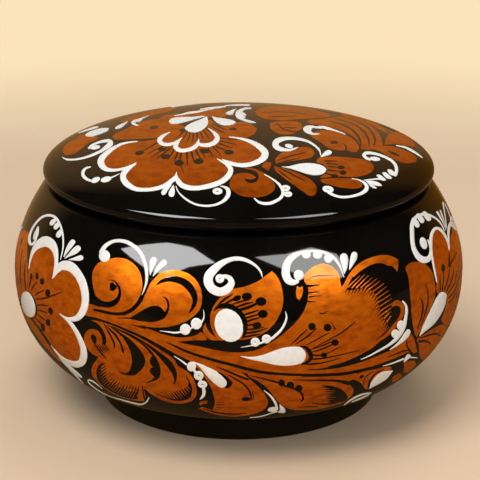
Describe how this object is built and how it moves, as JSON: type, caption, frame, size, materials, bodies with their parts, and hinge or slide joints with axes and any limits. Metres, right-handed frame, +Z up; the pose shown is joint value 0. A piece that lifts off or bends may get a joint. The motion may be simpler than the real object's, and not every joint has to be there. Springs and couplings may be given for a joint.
{
  "type": "lidded wooden bowl",
  "caption": "Round lacquered wooden bowl on a foot ring, with a low domed lift-off lid that plugs into its mouth, painted all over with gold and white leaves and curls.",
  "frame": {"origin": "centre of the flat ring that the foot stands on", "axes": "+Z up along the turning axis, -Y towards the pictured front"},
  "size_m": [0.13, 0.13, 0.0803],
  "materials": {
    "bowl_lacquer": "black gloss lacquer over wood, with copper gold and white painting",
    "lid_lacquer": "black gloss lacquer over wood, with copper gold and white painting"
  },
  "bodies": {
    "bowl": {"bowl": "bowl_lacquer"},
    "lid": {"lid": "lid_lacquer"}
  },
  "joints": [
    {"name": "lid_lift", "type": "slide", "parent": "bowl", "child": "lid", "axis": [0, 0, 1], "range_m": [0, 0.05]}
  ]
}
